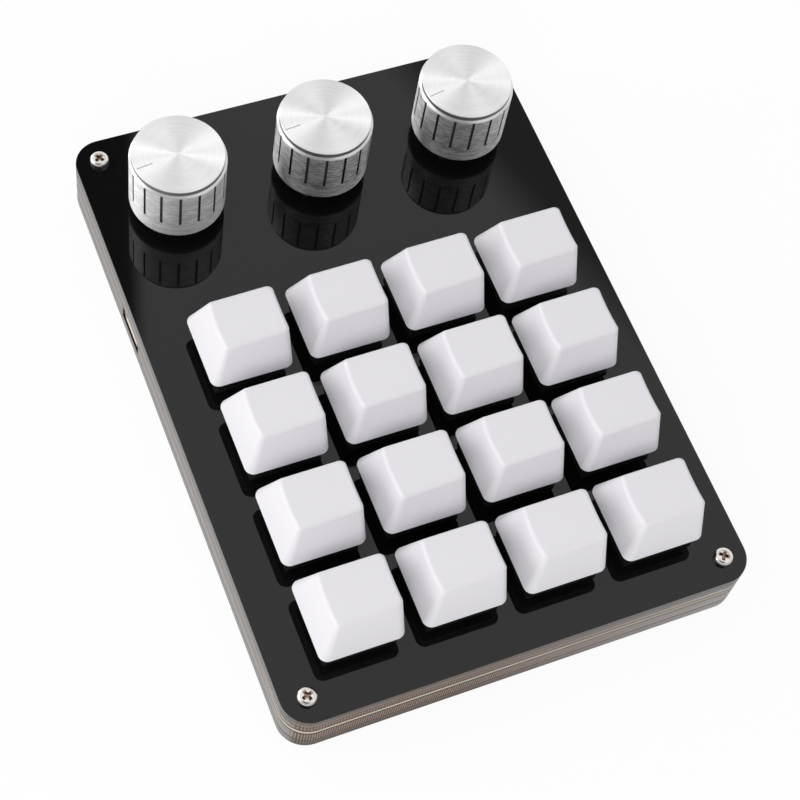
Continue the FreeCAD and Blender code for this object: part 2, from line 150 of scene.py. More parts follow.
class CapSettings(bpy.types.PropertyGroup):
    height: length("Height", "Height of the cap's edge above its rim", 9.5)
    left_lean: length("Left lean", "How far the left side leans in", 3.9)
    right_lean: length("Right lean", "How far the right side leans in", 0.45)
    side_lean: length("Side lean", "How far the front and back sides lean in", 3.35)
    corner: length("Corner", "Radius of the upright corners at the rim", 1.9)
    corner_share: ratio("Corner share", "Share of the left corners' radius left at the top", 0.55)
    edge: length("Edge", "Rounding of the edge round the dish", 0.7)
    dish: length("Dish", "Radius of the scooped top", 25.0)
    dish_sides: amount("Dish sides", "Sides of the scooping shape", 80, 24)
    wall: length("Wall", "Thickness of the sides", 1.3)
    roof: length("Roof", "Thickness of the top at its middle", 1.4)
    post: length("Post", "Radius of the post inside", 2.75)
    post_lift: length("Post lift", "Height of the post's end above the rim", 1.3)
    socket_length: length("Socket length", "Length of each arm of the cross socket", 4.2)
    socket_width: length("Socket width", "Width of each arm of the cross socket", 1.35)
    socket_slack: length("Socket slack", "Room over the stem's cross", 0.2)
    tilt: degrees("Tilt", "Rise of the dish to the right", 2.9)
    tint: colour("Colour", "Colour of the caps", (0.77, 0.755, 0.79))


class SpringSettings(bpy.types.PropertyGroup):
    wire: length("Wire", "Thickness of the return springs' wire", 0.4)
    turns: amount("Turns", "Turns of each return spring", 8, 2)
    slack: length("Slack", "Room over a spring whose key is down", 0.05)


class KnobSettings(bpy.types.PropertyGroup):
    face_radius: length("Face radius", "Radius of the raised face", 10.0)
    face_rise: length("Face rise", "Height of the raised face over the shoulder", 1.2)
    face_edge: length("Face edge", "Chamfer of the raised face", 0.10)
    shoulder_drop: length("Shoulder drop", "Height of the chamfer below the face", 0.3)
    wall: length("Wall", "Thickness of the turned shell", 1.9)
    roof: length("Roof", "Thickness under the face", 2.6)
    slot_width: length("Slot width", "Width of each milled slot", 0.6)
    slot_depth: length("Slot depth", "Depth of each milled slot", 0.5)
    slot_foot: length("Slot foot", "Where the slots begin above the foot", 4.2)
    slot_head: length("Slot head", "Where the slots end below the shoulder", 0.25)
    slots: amount("Slots", "Slots round the side", 16, 3)
    sides: amount("Sides", "Sides of the turned shapes", 128, 24)
    pointer_start: length("Pointer start", "Where the pointer line begins from the middle", 6.0)
    pointer_end: length("Pointer end", "Where the pointer line ends from the middle", 9.6)
    pointer_width: length("Pointer width", "Width of the pointer line", 0.22)
    pointer_depth: length("Pointer depth", "Depth of the pointer line", 0.08)
    foot_edge: length("Foot edge", "Chamfer of the lowest edge", 0.25)
    groove: length("Groove", "Depth of the fine groove over the slots", 0.10)
    face_tint: colour("Face colour", "Colour of the brushed face", (0.99, 0.99, 0.99))
    side_tint: colour("Side colour", "Colour of the turned side", (0.84, 0.84, 0.845))
    # Painted shade: the slots and, faintly, the pointer line are painted this dark colour, where shade falls
    # in them.
    slot_shade_tint: colour("Slot colour", "Colour deep in the slots", (0.09, 0.09, 0.092))
    bush_tint: colour("Bush colour", "Colour of the plastic bush", (0.010, 0.022, 0.025))
    bush_hollow: length("Bush hollow", "Radius of the hollow under the bush", 4.2)
    bush_hollow_depth: length("Bush hollow depth", "Depth of the hollow under the bush", 3.0)
    bush_edge: length("Bush edge", "Rounding of the bush", 0.12)


class CaseSettings(bpy.types.PropertyGroup):
    edge: length("Edge", "Rounding of the plate edges", 0.12)
    top_tint: colour("Top colour", "Colour of the polished top", (0.0040, 0.0036, 0.0040))
    edge_tint: colour("Edge colour", "Colour of the plates' cut edges", (0.185, 0.178, 0.176))
    frame_tint: colour("Frame colour", "Colour of the frames' cut edges", (0.225, 0.205, 0.197))
    brown_tint: colour("Brown", "Warm colour in the cut edges at the front left", (0.13, 0.08, 0.055))
    brown_full: length("Brown full", "Where along X the front edge is all brown", -12.0)
    brown_gone: length("Brown gone", "Where along X the front edge is all grey", 42.0)
    # Painted light: the front edge is painted paler than the sides, in place of how the lamps light it.
    front_painted_light: ratio("Front gain", "How much paler the front edge is than the sides", 1.4)
    hatch: length("Hatch", "Distance between the saw marks on the front edge", 0.52)
    joint_tint: colour("Joint colour", "Colour of the dark lines between the layers", (0.040, 0.030, 0.025))
    joint_core: length("Joint core", "How far a dark line is full into each layer", 0.10)
    joint_fade: length("Joint fade", "How far a dark line fades into each layer", 0.35)
    board_tint: colour("Board colour", "Colour of the circuit board's edge", (0.66, 0.58, 0.43))


class ScrewSettings(bpy.types.PropertyGroup):
    head_radius: length("Head radius", "Radius of the screw heads", 2.1)
    head_height: length("Head height", "Height of the screw heads", 1.4)
    head_edge: length("Head edge", "Rounding of the heads' upper edge", 0.85)
    recess_reach: length("Recess reach", "Length of each arm of the cross recess", 1.30)
    recess_half_width: length("Recess half width", "Half the width of each arm", 0.40)
    recess_depth: length("Recess depth", "Depth of the cross recess", 0.7)
    recess_taper: ratio("Recess taper", "Size of the recess at its bottom, as a share", 0.45)
    shank_radius: length("Shank radius", "Radius of the threaded part", 0.95)
    shank_length: length("Shank length", "Length of the threaded part", 6.0)
    # Painted shade: the cross recesses are painted this colour where shade falls in them.
    recess_shade_tint: colour("Recess colour", "Colour deep in the cross recess", (0.30, 0.215, 0.165))


class SocketSettings(bpy.types.PropertyGroup):
    proud: length("Proud", "How far the mouth stands out of the CAD's shell", 0.03)
    corner: length("Corner", "Radius of the shell's corners", 1.2)
    rim: length("Rim", "Thickness of the shell at its mouth", 0.3)
    funnel: length("Funnel", "Depth over which the mouth narrows", 0.5)
    narrow_y: ratio("Narrowing across", "Width left behind the funnel, as a share", 0.89)
    narrow_z: ratio("Narrowing upright", "Height left behind the funnel, as a share", 0.68)
    depth: length("Depth", "Depth of the hollow behind the funnel", 5.7)
    tongue_setback: length("Tongue setback", "Distance of the tongue behind the mouth", 0.12)
    tongue_length: length("Tongue length", "Length of the tongue", 6.18)
    tongue_half_width: length("Tongue half width", "Half the width of the tongue", 3.3)
    tongue_half_height: length("Tongue half height", "Half the thickness of the tongue", 0.55)
    tint: colour("Colour", "Colour of the shell and the tongue", (0.42, 0.37, 0.32))


class FootSettings(bpy.types.PropertyGroup):
    radius: length("Radius", "Radius of each foot", 4.5)
    edge: length("Edge", "Rounding of each foot", 0.3)
    tint: colour("Colour", "Colour of the rubber", (0.015, 0.015, 0.015))


class StageSettings(bpy.types.PropertyGroup):
    azimuth: degrees("Azimuth", "Camera's turn", -33.63)
    elevation: degrees("Elevation", "Camera's height", 61.05)
    roll: degrees("Roll", "Camera's roll", 13.64)
    distance: length("Distance", "Camera's distance from its target", 422.5)
    target_x: length("Target X", "Where the camera looks along X", -4.36)
    target_y: length("Target Y", "Where the camera looks along Y", -10.60)
    target_z: length("Target Z", "Where the camera looks along Z", 15.6)
    lens: FloatProperty(name="Lens", description="Focal length in millimetres", default=89.87)
    key_power: watts("Key power", "Power of the lamp at the left", 6.6)
    fill_power: watts("Fill power", "Power of the lamp at the front left", 8.5)
    strip_power: watts("Strip power", "Power of the narrow lamp behind", 3.5)
    sky: ratio("Sky", "Strength of the world on matt surfaces", 0.51)
    floor_tint: colour("Floor colour", "Colour of the floor", (0.95, 0.95, 0.95))
    floor_glow: ratio("Floor glow", "Share of plain white in the floor that the camera sees", 0.92)


# Modelling


def clear_selection():
    active = bpy.context.view_layer.objects.active
    if active and active.mode != "OBJECT":
        bpy.ops.object.mode_set(mode="OBJECT")
    bpy.ops.object.select_all(action="DESELECT")


def make_active(piece):
    clear_selection()
    piece.select_set(True)
    bpy.context.view_layer.objects.active = piece


def name_piece(name):
    bpy.ops.object.mode_set(mode="OBJECT")
    piece = bpy.context.view_layer.objects.active
    piece.name = name
    piece.data.name = name
    return piece


def box_piece(name, low, high):
    """A block between two corners, at the origin, with its place in its mesh."""
    low, high = Vector(low), Vector(high)
    clear_selection()
    bpy.ops.mesh.primitive_cube_add(size=1, enter_editmode=True)
    bpy.ops.transform.resize(value=high - low, center_override=(0, 0, 0))
    bpy.ops.transform.translate(value=(low + high) / 2)
    return name_piece(name)


def drum_piece(name, radius, bottom, top, sides, centre=(0, 0)):
    """A round bar standing on Z."""
    clear_selection()
    bpy.ops.mesh.primitive_cylinder_add(vertices=sides, radius=1, depth=1, enter_editmode=True)
    bpy.ops.transform.resize(value=(radius, radius, top - bottom), center_override=(0, 0, 0))
    bpy.ops.transform.translate(value=(centre[0], centre[1], (top + bottom) / 2))
    return name_piece(name)


def unpicked_mesh(piece):
    """The mesh of a piece with nothing selected in it."""
    make_active(piece)
    mesh = piece.data
    for parts in (mesh.vertices, mesh.edges, mesh.polygons):
        parts.foreach_set("select", [False] * len(parts))
    return mesh


def pick(piece, kind, test):
    """Edit mode with only those faces or edges selected that the test accepts."""
    mesh = unpicked_mesh(piece)
    if kind == "FACE":
        for face in mesh.polygons:
            face.select = test(face.center, face.normal)
    else:
        for edge in mesh.edges:
            ends = [mesh.vertices[index].co for index in edge.vertices]
            edge.select = test(*ends)
    bpy.context.tool_settings.mesh_select_mode = (False, kind == "EDGE", kind == "FACE")
    bpy.ops.object.mode_set(mode="EDIT")
    bpy.ops.mesh.select_mode(type=kind)


def pick_border(piece, test):
    """Edit mode with only the edges selected that part the accepted faces from the others."""
    mesh = unpicked_mesh(piece)
    sides = {}
    for face in mesh.polygons:
        accepted = test(face.center, face.normal)
        for key in face.edge_keys:
            sides.setdefault(key, set()).add(accepted)
    for edge in mesh.edges:
        edge.select = len(sides[edge.key]) == 2
    bpy.context.tool_settings.mesh_select_mode = (False, True, False)
    bpy.ops.object.mode_set(mode="EDIT")


def push(offset, scale=None, centre=(0, 0, 0)):
    """Extrudes the selected faces by an offset and then widens or narrows them."""
    bpy.ops.mesh.extrude_region_move(TRANSFORM_OT_translate={"value": offset})
    if scale:
        bpy.ops.transform.resize(value=scale, center_override=centre)


def modify(piece, kind, **values):
    """Adds a modifier with these values and applies it."""
    make_active(piece)
    bpy.ops.object.modifier_add(type=kind)
    modifier = piece.modifiers[-1]
    for key, value in values.items():
        setattr(modifier, key, value)
    bpy.ops.object.modifier_apply(modifier=modifier.name)


def cut(piece, cutter):
    """Takes the cutter out of the piece and deletes the cutter."""
    modify(piece, "BOOLEAN", operation="DIFFERENCE", solver="EXACT", object=cutter)
    remove(cutter)


def round_edges(piece, width, segments=2, angle=35):
    limits = {"limit_method": "ANGLE", "angle_limit": math.radians(angle)}
    modify(piece, "BEVEL", width=width, segments=segments, harden_normals=True, **limits)


def smooth(piece, angle=35):
    make_active(piece)
    bpy.ops.object.shade_smooth_by_angle(angle=math.radians(angle))


def weigh_normals(piece):
    """Lets the large faces keep their shading next to narrow rounded edges."""
    modify(piece, "WEIGHTED_NORMAL", keep_sharp=True, weight=80)


def join(name, pieces):
    make_active(pieces[0])
    for piece in pieces[1:]:
        piece.select_set(True)
    bpy.ops.object.join()
    return name_piece(name)


def copy_piece(piece, name, place, turn=0.0):
    """A copy with its own mesh, turned about Z and moved to a place."""
    copy = piece.copy()
    copy.data = piece.data.copy()
    copy.name = name
    copy.data.name = name
    copy.data.transform(Matrix.Translation(place) @ Matrix.Rotation(turn, 4, "Z"))
    bpy.context.scene.collection.objects.link(copy)
    return copy


def remove(piece):
    bpy.data.objects.remove(piece)


def merged_copy(node):
    """A copy of a CAD node with its loose triangles merged into whole faces."""
    source = frame["nodes"][node]
    copy = source.copy()
    copy.data = source.data.copy()
    copy.parent = None
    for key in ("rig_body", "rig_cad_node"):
        if key in copy:
            del copy[key]
    copy.name = node + "_dressed"
    copy.data.name = copy.name
    copy.data.materials.clear()
    bpy.context.scene.collection.objects.link(copy)
    make_active(copy)
    bpy.ops.object.mode_set(mode="EDIT")
    bpy.ops.mesh.select_all(action="SELECT")
    bpy.ops.mesh.remove_doubles(threshold=1e-6)
    bpy.ops.mesh.dissolve_limited(angle_limit=math.radians(0.5))
    bpy.ops.object.mode_set(mode="OBJECT")
    return copy


def upright_axis(node, height=0.0):
    """The middle of a CAD node seen from above, at a height."""
    low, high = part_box(node)
    return Vector(((low.x + high.x) / 2, (low.y + high.y) / 2, height))


def settle(piece, body, slot, material, *nodes):
    """Gives a finished piece its material and its body, and hides the CAD nodes it stands for; the slot is
    not used.
    """
    piece.data.materials.clear()
    piece.data.materials.append(material)
    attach(piece, body)
    if nodes:
        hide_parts(*nodes)


# Materials


class Nodes:
    """A node tree that is filled one node at a time."""

    def __init__(self, tree):
        self.tree = tree

    def node(self, kind, **settings):
        made = self.tree.nodes.new(kind)
        for key, value in settings.items():
            setattr(made, key, value)
        return made

    def link(self, output, target):
        self.tree.links.new(output, target)

    def axes(self, vector):
        split = self.node("ShaderNodeSeparateXYZ")
        self.link(vector, split.inputs["Vector"])
        return [split.outputs[axis] for axis in "XYZ"]

    def vector(self, *parts):
        made = self.node("ShaderNodeCombineXYZ")
        for part, inlet in zip(parts, made.inputs):
            self.link(part, inlet)
        return made.outputs["Vector"]

    def reach(self, across, along):
        """The distance from an upright axis."""
        measure = self.node("ShaderNodeVectorMath", operation="LENGTH")
        self.link(self.vector(across, along), measure.inputs[0])
        return measure.outputs["Value"]

    def maths(self, operation, *values):
        sum_node = self.node("ShaderNodeMath", operation=operation)
        for inlet, value in zip(sum_node.inputs, values):
            if isinstance(value, bpy.types.NodeSocket):
                self.link(value, inlet)
            else:
                inlet.default_value = value
        return sum_node.outputs["Value"]

    def both(self, first, *others):
        """The product of some values."""
        for other in others:
            first = self.maths("MULTIPLY", first, other)
        return first

    def blend(self, factor, first, second):
        mix = self.node("ShaderNodeMix", data_type="RGBA")
        self.link(factor, mix.inputs["Factor"])
        for socket, value in (("A", first), ("B", second)):
            inlet = [i for i in mix.inputs if i.name == socket and i.type == "RGBA"][0]
            if isinstance(value, bpy.types.NodeSocket):
                self.link(value, inlet)
            else:
                inlet.default_value = (*value, 1)
        return [o for o in mix.outputs if o.type == "RGBA"][0]

    def ramp(self, value, colours):
        """Colours in even steps from 0 to 1."""
        steps = self.node("ShaderNodeValToRGB")
        stops = steps.color_ramp.elements
        while len(stops) < len(colours):
            stops.new(0.5)
        for index in range(len(colours)):
            stops[index].position = index / (len(colours) - 1)
        for stop, rgb in zip(stops, colours):
            stop.color = (*rgb, 1)
        self.link(value, steps.inputs["Fac"])
        return steps.outputs["Color"]

    def band(self, value, low, high, start=0.0, end=1.0):
        """The value stretched from one range to another, and held inside it."""
        stretch = self.node("ShaderNodeMapRange")
        for socket, number in (("From Min", low), ("From Max", high), ("To Min", start), ("To Max", end)):
            stretch.inputs[socket].default_value = number
        self.link(value, stretch.inputs["Value"])
        return stretch.outputs["Result"]


class Recipe(Nodes):
    """A material being mixed: a shader with its constants, and nodes added one by one."""

    def __init__(self, name, **constants):
        self.material = bpy.data.materials.new(name)
        self.material.use_nodes = True
        super().__init__(self.material.node_tree)
        self.shader = self.tree.nodes["Principled BSDF"]
        for socket, value in constants.items():
            self.shader.inputs[socket.replace("_", " ")].default_value = value

    def place(self, scale=(1, 1, 1), location=(0, 0, 0)):
        """Object coordinates, moved and then stretched."""
        coordinates = self.node("ShaderNodeTexCoord")
        mapping = self.node("ShaderNodeMapping", vector_type="POINT")
        mapping.inputs["Scale"].default_value = scale
        mapping.inputs["Location"].default_value = [-s * v for s, v in zip(scale, location)]
        self.link(coordinates.outputs["Object"], mapping.inputs["Vector"])
        return mapping.outputs["Vector"]

    def noise(self, vector, scale, detail=2.0, roughness=0.5):
        texture = self.node("ShaderNodeTexNoise")
        texture.inputs["Scale"].default_value = scale
        texture.inputs["Detail"].default_value = detail
        texture.inputs["Roughness"].default_value = roughness
        self.link(vector, texture.inputs["Vector"])
        return texture.outputs["Fac"]

    def bump(self, height, strength, distance):
        relief = self.node("ShaderNodeBump")
        relief.inputs["Strength"].default_value = strength
        relief.inputs["Distance"].default_value = distance
        self.link(height, relief.inputs["Height"])
        self.link(relief.outputs["Normal"], self.shader.inputs["Normal"])

    def paint(self, output, socket="Base Color"):
        self.link(output, self.shader.inputs[socket])

    def facing(self, axis):
        """1 where a surface faces along an axis, either way."""
        geometry = self.node("ShaderNodeNewGeometry")
        along = self.axes(geometry.outputs["Normal"])["XYZ".index(axis)]
        return self.band(self.maths("ABSOLUTE", along), 0.55, 0.75)


def shaded(rgb, share):
    return tuple(min(1.0, channel * share) for channel in rgb)


def plain_finish(name, rgb, roughness, metallic=0.0, grain=900.0, mottle=0.06, relief=0.08, gloss=0.5):
    """A finish with a fine grain in its colour and its surface."""
    recipe = Recipe(name, Roughness=roughness, Metallic=metallic, Specular_IOR_Level=gloss)
    grainy = recipe.noise(recipe.place(), grain, 3.0)
    recipe.paint(recipe.blend(grainy, shaded(rgb, 1 - mottle), shaded(rgb, 1 + mottle)))
    recipe.bump(grainy, relief, 0.00005)
    return recipe.material


def screw_finish(screw, reach_x, reach_y, top, bottom):
    """Bright nickel, with painted brown shade deep in the recess of each head."""
    recipe = Recipe("screw_nickel", Metallic=1.0, Roughness=0.22)
    across, along, height = recipe.axes(recipe.place())
    off_x = recipe.maths("SUBTRACT", recipe.maths("ABSOLUTE", across), reach_x)
    off_y = recipe.maths("SUBTRACT", recipe.maths("ABSOLUTE", along), reach_y)
    within = recipe.band(recipe.reach(off_x, off_y), screw.recess_reach + 0.05 * MM, screw.recess_reach)
    middle, half = (top + bottom) / 2, (top - bottom) / 2
    level = recipe.maths("ABSOLUTE", recipe.maths("SUBTRACT", height, middle))
    sunk_shade = recipe.band(level, half - 0.05 * MM, half - 0.4 * MM)
    grainy = recipe.noise(recipe.place(), 1400, 3.0)
    bright = recipe.blend(grainy, (0.74, 0.70, 0.66), (0.88, 0.84, 0.81))
    # Painted shade: each cross recess is painted brown below the head's top.
    recipe.paint(recipe.blend(recipe.both(within, sunk_shade), bright, screw.recess_shade_tint))
    recipe.bump(grainy, 0.1, 0.00005)
    return recipe.material


def edge_colour(recipe, case, layer, low, high):
    """Sawn acrylic: long faint layers, dark joints, brown strokes towards the front left corner, and a front
    edge painted paler than the sides as painted light.
    """
    across, _, height = recipe.axes(recipe.place())
    level = recipe.band(height, low, high)
    front = recipe.facing("Y")
    tint = getattr(case, layer["tint"])

    def shades(rgb, shares, gain):
        return recipe.ramp(level, [shaded(rgb, part * gain) for part in shares])

    # Painted light: the front's shades are raised by the front gain, so the front edge is painted paler than
    # the sides.
    grey = recipe.blend(front, shades(tint, layer["grey"], 1), shades(tint, layer["grey"], case.front_painted_light))
    layers = recipe.noise(recipe.place((0.01, 0.01, 1)), 1200, 1.0)
    grey = recipe.blend(recipe.band(layers, 0.35, 0.65, 0.5, 0), grey, shaded(tint, 0.55))
    waves = 2 * math.pi / (case.hatch * layer["spread"])
    strokes = recipe.band(recipe.maths("SINE", recipe.both(across, waves)), -0.4, 0.4)
    valley = shades(case.brown_tint, layer["brown"], 1 - layer["marks"])
    crest = shades(case.brown_tint, layer["brown"], 1 + layer["marks"])
    brown = recipe.blend(strokes, valley, crest)
    towards_left = recipe.band(across, case.brown_full, case.brown_gone, 1.0, 0.0)
    tone = recipe.blend(recipe.both(towards_left, front), grey, brown)
    off_middle = recipe.maths("ABSOLUTE", recipe.band(height, low, high, -1, 1))
    thick = (high - low) / 2
    dark_line = recipe.band(off_middle, 1 - case.joint_fade / thick, 1 - case.joint_core / thick, 0, 0.75)
    return recipe.blend(dark_line, tone, case.joint_tint)


def dusty(recipe, colour_below):
    """A few tiny pale specks of dust."""
    specks = recipe.node("ShaderNodeTexVoronoi")
    specks.inputs["Scale"].default_value = 55
    recipe.link(recipe.place((1, 1, 0)), specks.inputs["Vector"])
    away = recipe.band(specks.outputs["Distance"], 0.004, 0.008)
    return recipe.blend(away, (0.35, 0.35, 0.36), colour_below)


def plate_finish(name, case, layer, low, high):
    """Polished acrylic with sawn edges."""
    recipe = Recipe(name, IOR=1.45, Specular_IOR_Level=layer["gloss"])
    flat = recipe.facing("Z")
    edge = edge_colour(recipe, case, layer, low, high)
    recipe.paint(recipe.blend(flat, edge, dusty(recipe, case.top_tint)))
    recipe.paint(recipe.band(flat, 0, 1, 0.3, 0.03), "Roughness")
    return recipe.material


def board_finish(case, low, high):
    """Laminate: a pale core between two dark coats, with a painted highlight that makes the core brightest
    round the front left corner.
    """
    recipe = Recipe("board_laminate", Roughness=0.45)
    across, along, height = recipe.axes(recipe.place())
    level = recipe.maths("ABSOLUTE", recipe.band(height, low, high, -1, 1))
    layers = recipe.noise(recipe.place((0.4, 0.4, 30)), 160, 2.0)
    to_right = recipe.band(across, -0.02, 0.03)
    front = recipe.maths("MAXIMUM", recipe.facing("Y"), recipe.band(along, -0.050, -0.066))
    # Painted highlight: the core is painted full board colour round the front left corner, duller to the
    # right, and frame colour on the left side.
    front_core_highlight = recipe.blend(to_right, case.board_tint, shaded(case.board_tint, 0.65))
    core = recipe.blend(front, shaded(case.frame_tint, 1.08), front_core_highlight)
    core = recipe.blend(recipe.band(layers, 0.3, 0.7, 0.3, 0), core, shaded(case.frame_tint, 0.8))
    front_coat = recipe.blend(to_right, shaded(case.brown_tint, 0.7), shaded(case.frame_tint, 0.8))
    coat = recipe.blend(front, shaded(case.frame_tint, 0.9), front_coat)
    edge = recipe.blend(recipe.band(level, 0.45, 0.60), core, coat)
    recipe.paint(recipe.blend(recipe.facing("Z"), edge, (0.012, 0.012, 0.013)))
    return recipe.material


def turned_metal(name, knob, look, centre, radius, low, high):
    """Metal with lathe lines round an upright axis: a brushed face and a scratched side, with painted light:
    a painted highlight on the foot, and painted shade on the raised face's wall, the shoulder, the groove,
    the slots and the pointer line.
    """
    recipe = Recipe(name, Metallic=look["bare"], Anisotropic=0.9, Anisotropic_Rotation=0.25)
    across, along, height = recipe.axes(recipe.place((1, 1, 1), (centre.x, centre.y, 0)))
    reach = recipe.reach(across, along)
    angle = recipe.maths("ARCTAN2", across, recipe.both(along, -1.0))

    def lathe_lines(stretch, scale, detail):
        vector = recipe.vector(recipe.both(angle, stretch), reach, height)
        return recipe.noise(vector, scale, detail, 0.6)

    upright = recipe.facing("Z")
    rings = lathe_lines(0.0003, 3600, 1.0)
    scratches = lathe_lines(0.0016, 3600, 2.0)
    patches = lathe_lines(0.0030, 620, 2.0)
    ring_shades = shaded(knob.face_tint, 0.90), shaded(knob.face_tint, 1.01)
    face = recipe.blend(recipe.band(rings, 0.2, 0.8), *ring_shades)
    # Painted light: each knob's own scratch shares paint its side lighter or darker, in place of the lamps'
    # light.
    scratch_shades = shaded(knob.side_tint, look["dark"]), shaded(knob.side_tint, look["light"])
    side = recipe.blend(recipe.band(scratches, 0.38, 0.62), *scratch_shades)
    side = recipe.blend(recipe.band(patches, 0.40, 0.60, 0, 0.35), side, shaded(knob.side_tint, 0.6))
    # Painted highlight: the band over the foot is painted paler than the rest of the side.
    foot = recipe.band(height, low + 3.3 * MM, low + 3.0 * MM)
    side = recipe.blend(recipe.both(foot, 0.25), side, shaded(knob.side_tint, 1.1))
    ledge = high - knob.face_rise
    shoulder = ledge - knob.shoulder_drop
    # Painted shade: the wall of the raised face is painted dark.
    raised = recipe.band(height, ledge - 0.05 * MM, ledge + 0.05 * MM)
    side = recipe.blend(raised, side, shaded(knob.side_tint, 0.25))
    # Painted shade: a dark line is painted along the fine groove under the shoulder.
    from_groove = recipe.maths("SUBTRACT", height, shoulder - 0.15 * MM)
    dark_line = recipe.band(recipe.maths("ABSOLUTE", from_groove), 0.12 * MM, 0.08 * MM)
    side = recipe.blend(dark_line, side, shaded(knob.side_tint, 0.2))
    # Painted shade: the shoulder below the ledge is painted a little darker than the face.
    face = recipe.blend(raised, shaded(knob.face_tint, 0.85), face)
    metal = recipe.blend(upright, side, face)

    # Painted shade: the slots and, at a third of the strength, the pointer line are painted dark.
    over_foot = recipe.band(height, low + knob.slot_foot - 0.1 * MM, low + knob.slot_foot)
    slot_top = shoulder - knob.slot_head
    under_top = recipe.band(height, slot_top, slot_top - 0.05 * MM)
    sunk_shade = recipe.band(reach, radius - 0.06 * MM, radius - 0.2 * MM)
    slot = recipe.both(over_foot, under_top, sunk_shade)
    line = recipe.band(height, high - 0.03 * MM, high - 0.06 * MM)
    inside = recipe.band(reach, knob.face_radius - 0.3 * MM, knob.face_radius - 0.35 * MM)
    line = recipe.both(line, inside, 0.3)
    hollow = recipe.maths("MAXIMUM", slot, line)
    recipe.paint(recipe.blend(hollow, metal, knob.slot_shade_tint))
    recipe.paint(recipe.band(upright, 0, 1, 0.48, 0.41), "Roughness")
    tangent = recipe.node("ShaderNodeTangent", direction_type="RADIAL", axis="Z")
    recipe.link(tangent.outputs["Tangent"], recipe.shader.inputs["Tangent"])
    recipe.bump(recipe.blend(upright, scratches, rings), 0.25, 0.00004)
    return recipe.material


# Operators


def settings(group):
    return getattr(bpy.context.scene, "keypad_" + group)


class KEYPAD_OT_case(bpy.types.Operator):
    """Rounds and finishes the plates, the frames and the circuit board"""

    bl_idname = "keypad.case"
    bl_label = "Case"

    def execute(self, context):
        case = settings("case")
        for node, layer in LAYERS.items():
            low, high = [corner.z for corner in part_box(node)]
            if node == "circuit_board":
                material = board_finish(case, low, high)
            else:
                material = plate_finish("acrylic_" + node, case, layer, low, high)
            plate = merged_copy(node)
            round_edges(plate, case.edge, 2, 60)
            smooth(plate, 15)
            weigh_normals(plate)
            settle(plate, "case", layer["slot"], material, node)
        return {"FINISHED"}


def tighten_corner(piece, corner, reach, share):
    """Draws one rounded corner of the top towards its sharp corner, so that its radius shrinks."""
    pick(piece, "EDGE", lambda a, b: (a - corner).length < reach and (b - corner).length < reach)
    bpy.ops.transform.resize(value=(share, share, 1), center_override=corner)


def model_cap(cap, base, socket_top):
    """The cap with the middle of its rim at the origin."""
    half = base / 2
    crown = cap.height + base * math.sin(cap.tilt)
    piece = box_piece("keycap", (-half, -half, 0), (half, half, crown))
    share = crown / cap.height
    left, right = -half + cap.left_lean * share, half - cap.right_lean * share
    side = half - cap.side_lean * share
    pick(piece, "EDGE", lambda a, b: abs(a.z - b.z) > cap.height / 2)
    bpy.ops.mesh.bevel(offset=cap.corner, segments=10, affect="EDGES")
    pick(piece, "FACE", lambda centre, normal: normal.z > 0.9)
    bpy.ops.transform.resize(value=((right - left) / base, 2 * side / base, 1), center_override=(0, 0, crown))
    bpy.ops.transform.translate(value=((left + right) / 2, 0, 0))
    for y in (-side, side):
        tighten_corner(piece, Vector((left, y, crown)), cap.corner, cap.corner_share)

    sag = cap.dish - math.sqrt(cap.dish ** 2 - (half - cap.side_lean) ** 2)
    middle = Vector(((cap.right_lean - cap.left_lean) / -2, 0, cap.height - sag + cap.dish))
    clear_selection()
    bpy.ops.mesh.primitive_cylinder_add(vertices=cap.dish_sides, radius=cap.dish, depth=3 * base)
    dish = bpy.context.view_layer.objects.active
    dish.matrix_world = Matrix.Translation(middle) @ Matrix.Rotation(math.pi / 2 - cap.tilt, 4, "Y")
    cut(piece, dish)

    pick_border(piece, lambda centre, normal: normal.z > 0.85)
    bpy.ops.mesh.bevel(offset=cap.edge, segments=6, affect="EDGES")

    ceiling = cap.height - sag - cap.roof
    pick(piece, "FACE", lambda centre, normal: normal.z < -0.9 and abs(centre.z) < 0.01 * MM)
    bpy.ops.mesh.inset(thickness=cap.wall)
    narrowing = 1 - 2 * cap.side_lean * ceiling / cap.height / (base - 2 * cap.wall)
    push((0, 0, ceiling), (narrowing, narrowing, 1), (0, 0, ceiling))
    bpy.ops.transform.translate(value=((cap.left_lean - cap.right_lean) / 2 * ceiling / cap.height, 0, 0))

    post = drum_piece("post", cap.post, cap.post_lift, ceiling + cap.roof / 2, 24)
    long, wide = cap.socket_length / 2, cap.socket_width / 2
    for half_x, half_y in ((long, wide), (wide, long)):
        arm = box_piece("arm", (-half_x, -half_y, cap.post_lift - MM), (half_x, half_y, socket_top))
        cut(post, arm)
    whole = join("keycap", [piece, post])
    smooth(whole, 40)
    weigh_normals(whole)
    return whole


class KEYPAD_OT_caps(bpy.types.Operator):
    """Models the sculpted keycap and sets one on every switch"""

    bl_idname = "keypad.caps"
    bl_label = "Keycaps"

    def execute(self, context):
        cap = settings("cap")
        low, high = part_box("keycap_" + KEYS[0])
        stem_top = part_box("stem_" + KEYS[0])[1].z
        model = model_cap(cap, high.x - low.x, stem_top + cap.socket_slack - low.z)
        finish = plain_finish("cap_white", cap.tint, 0.58, grain=2600, mottle=0.01, relief=0.12, gloss=0.4)
        for key in KEYS:
            node = "keycap_" + key
            place = upright_axis(node, low.z)
            settle(copy_piece(model, node + "_moulded", place), "key_" + key, "cap_white", finish, node)
        remove(model)
        return {"FINISHED"}


